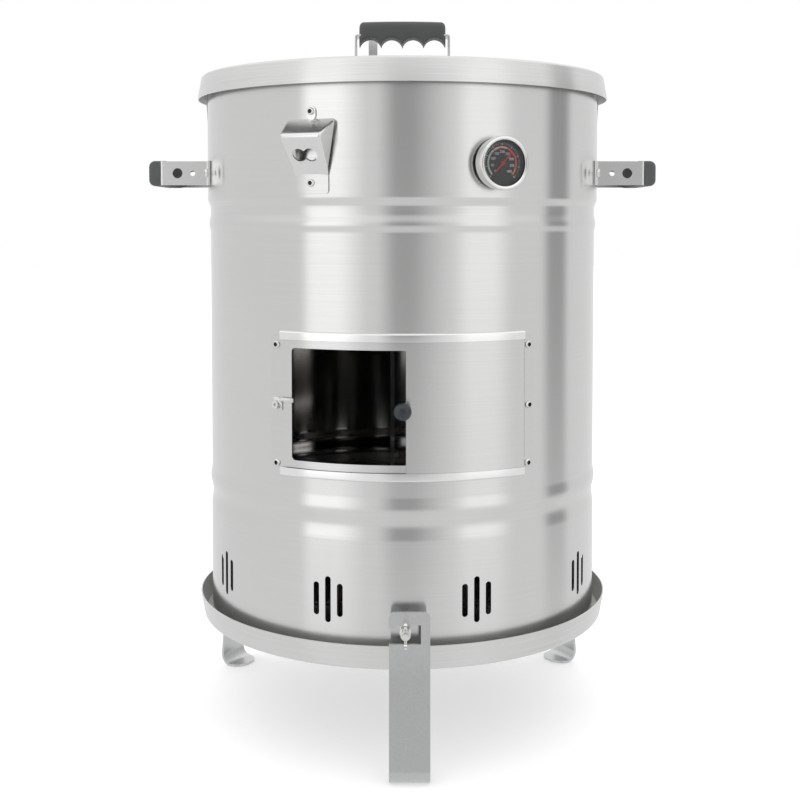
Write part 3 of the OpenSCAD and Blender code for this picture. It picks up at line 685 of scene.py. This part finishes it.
turn_per_metre = math.degrees(1) / opener_back
foot_half = hood_half[hood_foot] * turn_per_metre
foot_low, foot_high = 0.5728, 0.5918
foot_rim = corner_line(
    opener_angle - foot_half, opener_angle + foot_half, foot_low, foot_high, 0.003, opener_back)
foot = wrapped_plate("opener_foot", [foot_rim], opener_back, hood_sheet)
fit(foot, "drum", panel_steel, ["opener_hood"])
tab_half = 0.005 * turn_per_metre
tab_low, tab_high = hood_top - 0.0015, screw_top + 0.005
tab_rim = corner_line(
    opener_angle - tab_half, opener_angle + tab_half, tab_low, tab_high, 0.0048, opener_back)
tab = wrapped_plate("opener_tab", [tab_rim], opener_back, hood_sheet)
fit(tab, "drum", hood_steel, ["opener_hood"])
button_screws("opener_button_screws", "opener_screws", [
    stand(opener_angle, opener_back + hood_sheet, screw_top),
    stand(opener_angle, opener_back + hood_sheet, screw_low),
], 0.0038, 0.0022, 0.002, 0.0074)


# Side handles
# A loop of 26 x 2.2 mm stainless strap is screwed to each side of the collar.
# Each carries a moulded grip with four finger scallops.

strap_steel = steel("satin_strap_steel", (0.80, 0.80, 0.795), 0.26, (20, 1600, 1600), 0.06, aniso=0.0)
grip_plastic = moulded("grip_plastic", (0.052, 0.055, 0.056), 0.5, 1900, 0.00006, (0.085, 0.087, 0.088))
grip_length, grip_width, grip_depth = 0.0964, 0.0276, 0.028
scallop_pitch, scallop_depth = grip_length / 4, 0.0097
scallop_radius = ((scallop_pitch / 2) ** 2 + scallop_depth ** 2) / (2 * scallop_depth)
strap_under, strap_over = -0.01705, -0.01475


def moulded_grip(name, node, body, place):
    """A grip: x along its length, z outwards from its outer face. The fingers hold the four scallops."""
    bm = bmesh.new()
    rings = []
    end_round, crown, steps = 0.005, 0.0009, 120
    top_edge, low_edge = 0.0065, 0.002
    for i in range(steps + 1):
        closer_at_ends = -math.cos(math.pi * i / steps) / 2
        x = grip_length * (0.35 * closer_at_ends + 0.65 * (i / steps - 0.5))
        from_end = grip_length / 2 - abs(x)
        shrink = 0.0
        if from_end < end_round:
            shrink = end_round - math.sqrt(max(0.0, end_round ** 2 - (end_round - from_end) ** 2))
        across = (x + grip_length / 2) % scallop_pitch - scallop_pitch / 2
        bite = scallop_depth - scallop_radius + math.sqrt(max(0.0, scallop_radius ** 2 - across ** 2))
        top = -crown * (2 * x / grip_length) ** 2 - shrink
        low = -grip_depth + max(0.0, bite)
        half = grip_width / 2 - shrink * 0.6
        corners = [
            (half - low_edge, low + low_edge, low_edge, -90),
            (half - top_edge, top - top_edge, top_edge, 0),
            (top_edge - half, top - top_edge, top_edge, 90),
            (low_edge - half, low + low_edge, low_edge, 180),
        ]
        ring = []
        for y, z, radius, first in corners:
            for k in range(7):
                angle = math.radians(first + 15 * k)
                ring.append((x, y + radius * math.cos(angle), z + radius * math.sin(angle)))
        rings.append(ring)
    loft(bm, rings, place)
    grip = solid(name, bm, 40)
    slot = bmesh.new()
    half_x, half_y = grip_length / 2 + 0.01, 0.01305
    corners = [(-half_x, -half_y), (half_x, -half_y), (half_x, half_y), (-half_x, half_y)]
    prism(slot, corners, place, strap_under, strap_over)
    cut(grip, slot, 40)
    return fit(grip, body, grip_plastic, [node])


for side, sign in (("right", 1), ("left", -1)):
    soften(f"side_strap_{side}", strap_steel, 0.0004)
    low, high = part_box(f"side_grip_{side}")
    face = high.x if sign > 0 else low.x
    turn = Matrix(((0, 0, sign, face), (sign, 0, 0, 0), (0, 1, 0, (low.z + high.z) / 2), (0, 0, 0, 1)))
    moulded_grip(f"moulded_grip_{side}", f"side_grip_{side}", "drum", turn)
strap_foot_y, strap_thick = 0.0599, 0.0022
foot_angle = math.degrees(math.asin(strap_foot_y / collar_radius))
handle_height = 0.5982
handle_turns = [side + turn for side in (-90, 90) for turn in (-foot_angle, foot_angle)]
handle_places = [stand(turn, collar_radius + strap_thick + 0.0004, handle_height) for turn in handle_turns]
button_screws("handle_button_screws", "side_handle_screws", handle_places, 0.0046, 0.0028, 0.0025, 0.0087)
soften("wall_nuts", bright_steel, 0.0003)


# Thermometer
# A dial thermometer in a polished case; its stem goes through the collar into the smoke.
# The dial is printed black, and a needle turns over it behind a glass.

polished = steel("polished_case_steel", (0.82, 0.82, 0.81), 0.09, (700, 700, 700), 0.03, 0.000005, 0.0)
for node in ("thermo_case", "thermo_bezel", "thermo_stem"):
    soften(node, polished, 0.0003)
soften("thermo_nut", bright_steel, 0.0004)


def painted(name, colour, roughness, spread=0.12):
    """Printed or painted ink with a slight unevenness."""
    made = bpy.data.materials.new(name)
    made.use_nodes = True
    nodes, links = made.node_tree.nodes, made.node_tree.links
    shader = nodes["Principled BSDF"]
    shader.inputs["Roughness"].default_value = roughness
    place = nodes.new("ShaderNodeTexCoord")
    speck = nodes.new("ShaderNodeTexNoise")
    speck.inputs["Scale"].default_value = 900.0
    speck.inputs["Detail"].default_value = 3.0
    links.new(place.outputs["Object"], speck.inputs["Vector"])
    mix = nodes.new("ShaderNodeMix")
    mix.data_type = "RGBA"
    mix.inputs["A"].default_value = [c * (1 - spread) for c in colour] + [1.0]
    mix.inputs["B"].default_value = [min(1.0, c * (1 + spread)) for c in colour] + [1.0]
    links.new(speck.outputs["Fac"], mix.inputs["Factor"])
    links.new(mix.outputs["Result"], shader.inputs["Base Color"])
    return made


dial_black = painted("dial_black", (0.022, 0.026, 0.027), 0.4)
soften("thermo_dial", dial_black, 0.0001)
thermo_angle, thermo_height = 25.0, 0.6022
dial_radius = 0.0235
thermo_gap, case_depth, dial_thick = 0.003, 0.007, 0.0008
dial_face = stand(thermo_angle, collar_radius + thermo_gap + case_depth + dial_thick, thermo_height)


def clock(turn, radius, lift=0.00006):
    """A point on the dial at a clockwise turn from the top."""
    angle = math.radians(turn)
    return dial_face @ Vector((radius * math.sin(angle), radius * math.cos(angle), lift))


def dial_band(bm, start, stop, inner, outer, steps):
    """A thin printed band or stroke of ink on the dial."""
    for k in range(steps):
        a = start + (stop - start) * k / steps
        b = start + (stop - start) * (k + 1) / steps
        corners = ((a, inner), (a, outer), (b, outer), (b, inner))
        lower = [bm.verts.new(clock(t, r, -0.00002)) for t, r in corners]
        upper = [bm.verts.new(clock(t, r)) for t, r in corners]
        bm.faces.new(lower[::-1])
        bm.faces.new(upper)
        for m in range(4):
            bm.faces.new((lower[m], lower[(m + 1) % 4], upper[(m + 1) % 4], upper[m]))


sweep_start, sweep_stop = -135.0, 135.0
zones = [
    ("grey", (0.52, 0.53, 0.54), -135, -38),
    ("pink", (0.86, 0.42, 0.38), -36, 22),
    ("red", (0.72, 0.10, 0.07), 24, 104),
    ("orange", (0.85, 0.22, 0.06), 106, 135),
]
for colour_name, colour, start, stop in zones:
    bm = bmesh.new()
    dial_band(bm, start, stop, dial_radius * 0.62, dial_radius * 0.70, int((stop - start) / 3))
    band = solid(f"dial_band_{colour_name}", bm)
    fit(band, "drum", painted(f"ink_{colour_name}", colour, 0.45), [])
white_ink = painted("ink_white", (0.80, 0.81, 0.80), 0.45)
bm = bmesh.new()
tick_count = 40
for k in range(tick_count + 1):
    turn = sweep_start + (sweep_stop - sweep_start) * k / tick_count
    major = k % 5 == 0
    half = 0.9 if major else 0.45
    dial_band(bm, turn - half, turn + half, dial_radius * (0.74 if major else 0.78), dial_radius * 0.84, 1)
fit(solid("dial_ticks", bm), "drum", white_ink, [])
number_count, number_radius = 9, dial_radius * 0.47
for k in range(number_count):
    turn = sweep_start + (sweep_stop - sweep_start) * k / (number_count - 1)
    letters = bpy.data.curves.new(f"dial_number_{k}", "FONT")
    letters.body = str(50 * k)
    letters.size = 0.0036
    letters.align_x = "CENTER"
    letters.align_y = "CENTER"
    letters.extrude = 0.00003
    writing = bpy.data.objects.new(f"dial_number_{k}", letters)
    bpy.context.scene.collection.objects.link(writing)
    angle = math.radians(turn)
    spot = dial_face @ Matrix.Translation(
        (number_radius * math.sin(angle), number_radius * math.cos(angle), 0.00005))
    bpy.context.view_layer.update()
    mesh = bpy.data.meshes.new_from_object(writing.evaluated_get(bpy.context.evaluated_depsgraph_get()))
    mesh.transform(spot)
    bpy.data.objects.remove(writing)
    number = bpy.data.objects.new(f"dial_number_{50 * k}", mesh)
    bpy.context.scene.collection.objects.link(number)
    mesh.materials.clear()
    fit(number, "drum", white_ink, [])
needle_red = painted("needle_red", (0.62, 0.05, 0.03), 0.4)
soften("thermo_needle", needle_red, 0.0001)
glass = bpy.data.materials.new("dial_glass")
glass.use_nodes = True
glass_shader = glass.node_tree.nodes["Principled BSDF"]
glass_shader.inputs["Transmission Weight"].default_value = 1.0
glass_shader.inputs["Roughness"].default_value = 0.02
glass_shader.inputs["IOR"].default_value = 1.3
soften("thermo_glass", glass, 0.0002)


# Inside
# Four ledges in the collar carry a wire cooking grate.
# A round wire basket with a bail handle holds the charcoal on the pan's floor.

wire_steel = steel("grate_wire_steel", (0.55, 0.54, 0.52), 0.3, (500, 500, 500), 0.1, 0.00004, 0.0)
dark_steel = steel("heat_dulled_steel", (0.30, 0.28, 0.26), 0.42, (260, 260, 260), 0.2, 0.00008, 0.0)
soften("grate_brackets", dark_steel, 0.0003)
soften("lid_guides", panel_steel, 0.0003)
for node, material, slot in (
    ("cooking_grate", wire_steel, "grate_wire"),
    ("basket_wall", dark_steel, "dark_steel"),
    ("basket_floor", dark_steel, "dark_steel"),
    ("basket_bail", wire_steel, "grate_wire"),
):
    frame["nodes"][node].material_slots[0].material = material


# Lid
# A dish like the base pan, turned over, that rests on the drum's top edge.
# Three round vents behind the handle are closed by a turning damper disc with an upright tab.

lid_low, lid_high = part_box("lid_shell")
lid_depth = lid_high.z - lid_low.z
lid_dish = dish_line(skirt_radius, flare_radius - 0.0001, lid_depth - 0.0006)
lid_line = [(r, lid_high.z - h) for r, h in lid_dish]
lid = turned("lid_spun", sheet_section(lid_line, -sheet))
damper_middle = Vector((0.0, 0.085, lid_high.z))
hole_radius, hole_ring = 0.01, 0.022
hole_line = circle_ring(hole_radius, 0.0)
holes = bmesh.new()
for i in range(3):
    angle = math.radians(90 + 120 * i)
    middle = damper_middle + Vector((hole_ring * math.cos(angle), hole_ring * math.sin(angle), 0))
    prism(holes, hole_line, Matrix.Translation(middle), -0.01, 0.01)
cut(lid, holes)
fit(lid, "lid", rim_steel, ["lid_shell"], mill_steel)
soften("damper_disc", panel_steel, 0.0003)
soften("damper_rivet", bright_steel, 0.0008)
soften("lid_strap", strap_steel, 0.0004)
grip_top = Matrix.Translation((0, 0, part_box("lid_grip")[1].z))
moulded_grip("moulded_grip_lid", "lid_grip", "lid", grip_top)
lid_places = [Matrix.Translation((side * strap_foot_y, 0, lid_high.z + strap_thick)) for side in (-1, 1)]
button_screws("lid_button_screws", "lid_handle_screws", lid_places, 0.0046, 0.0028, 0.0025, 0.008)
soften("lid_nuts", bright_steel, 0.0003)


# Studio
# A plain pale floor in a soft light tent. Two bright panels stand at the tent's front corners, and the
# gap between them and a black flag on the right show in the steel as dark bands.

floor_mesh = bmesh.new()
bmesh.ops.create_circle(floor_mesh, cap_ends=True, radius=14, segments=96)
floor = solid("floor", floor_mesh)
floor_paint = bpy.data.materials.new("floor_paint")
floor_paint.use_nodes = True
floor_shader = floor_paint.node_tree.nodes["Principled BSDF"]
floor_shader.inputs["Base Color"].default_value = (0.88, 0.88, 0.88, 1)
floor_shader.inputs["Roughness"].default_value = 0.7
floor_shader.inputs["Emission Color"].default_value = (1, 1, 1, 1)
floor_shader.inputs["Emission Strength"].default_value = 0.3
floor.data.materials.append(floor_paint)
floor.visible_glossy = False

world = bpy.data.worlds.new("light_tent")
bpy.context.scene.world = world
world.use_nodes = True
nodes, links = world.node_tree.nodes, world.node_tree.links
background = nodes["Background"]
direction = nodes.new("ShaderNodeTexCoord")
around = nodes.new("ShaderNodeTexGradient")
around.gradient_type = "RADIAL"
links.new(direction.outputs["Generated"], around.inputs["Vector"])
panels = nodes.new("ShaderNodeValToRGB")
links.new(around.outputs["Fac"], panels.inputs["Fac"])
tent_cloth = 0.82
# Panels of the tent: the degrees where each begins, is full, fades and ends, and its brightness.
tent_panels = {
    "strip light": (-60, -54, -36, -20, 1.40),
    "camera gap": (-14, -4, 6, 26, 0.34),
    "soft light": (28, 38, 54, 66, 1.20),
    "black flag": (88, 95, 107, 114, 0.36),
}
ramp = panels.color_ramp
ramp.elements.remove(ramp.elements[0])
ramp.elements[0].color = (tent_cloth, tent_cloth, tent_cloth, 1)
ramp.elements[0].position = 1.0
front_of_ramp = 0.25
for begins, full, fades, ends, bright in tent_panels.values():
    for angle, level in ((begins, tent_cloth), (full, bright), (fades, bright), (ends, tent_cloth)):
        spot = ramp.elements.new(angle / 360 + front_of_ramp)
        spot.color = (level, level, level, 1)
up = nodes.new("ShaderNodeSeparateXYZ")
links.new(direction.outputs["Generated"], up.inputs["Vector"])
rise = nodes.new("ShaderNodeMapRange")
rise.interpolation_type = "SMOOTHSTEP"
rise.inputs["From Min"].default_value = 0.12
rise.inputs["From Max"].default_value = 0.7
links.new(up.outputs["Z"], rise.inputs["Value"])
fall = nodes.new("ShaderNodeMapRange")
fall.inputs["From Min"].default_value = -0.06
fall.inputs["From Max"].default_value = -0.30
fall.inputs["To Max"].default_value = 0.9
links.new(up.outputs["Z"], fall.inputs["Value"])
ground = nodes.new("ShaderNodeMix")
ground.data_type = "RGBA"
ground.inputs["B"].default_value = (0.84, 0.84, 0.84, 1)
links.new(fall.outputs["Result"], ground.inputs["Factor"])
links.new(panels.outputs["Color"], ground.inputs["A"])
roof = nodes.new("ShaderNodeMix")
roof.data_type = "RGBA"
roof.inputs["B"].default_value = (1.15, 1.15, 1.15, 1)
links.new(rise.outputs["Result"], roof.inputs["Factor"])
links.new(ground.outputs["Result"], roof.inputs["A"])
seen = nodes.new("ShaderNodeLightPath")
shown = nodes.new("ShaderNodeMix")
shown.data_type = "RGBA"
shown.inputs["B"].default_value = (1, 1, 1, 1)
links.new(seen.outputs["Is Camera Ray"], shown.inputs["Factor"])
links.new(roof.outputs["Result"], shown.inputs["A"])
links.new(shown.outputs["Result"], background.inputs["Color"])

camera_data = bpy.data.cameras.new("camera")
camera_data.lens = 56.97
camera_data.sensor_width = 36
camera_data.shift_x = -0.003
camera_data.shift_y = -0.15
camera = bpy.data.objects.new("camera", camera_data)
camera.location = (0, -1.4385, 0.5469)
camera_dip = 2.70
camera.rotation_euler = (math.radians(90 - camera_dip), 0, 0)
bpy.context.scene.collection.objects.link(camera)
bpy.context.scene.camera = camera
bpy.context.scene.view_settings.view_transform = "Standard"
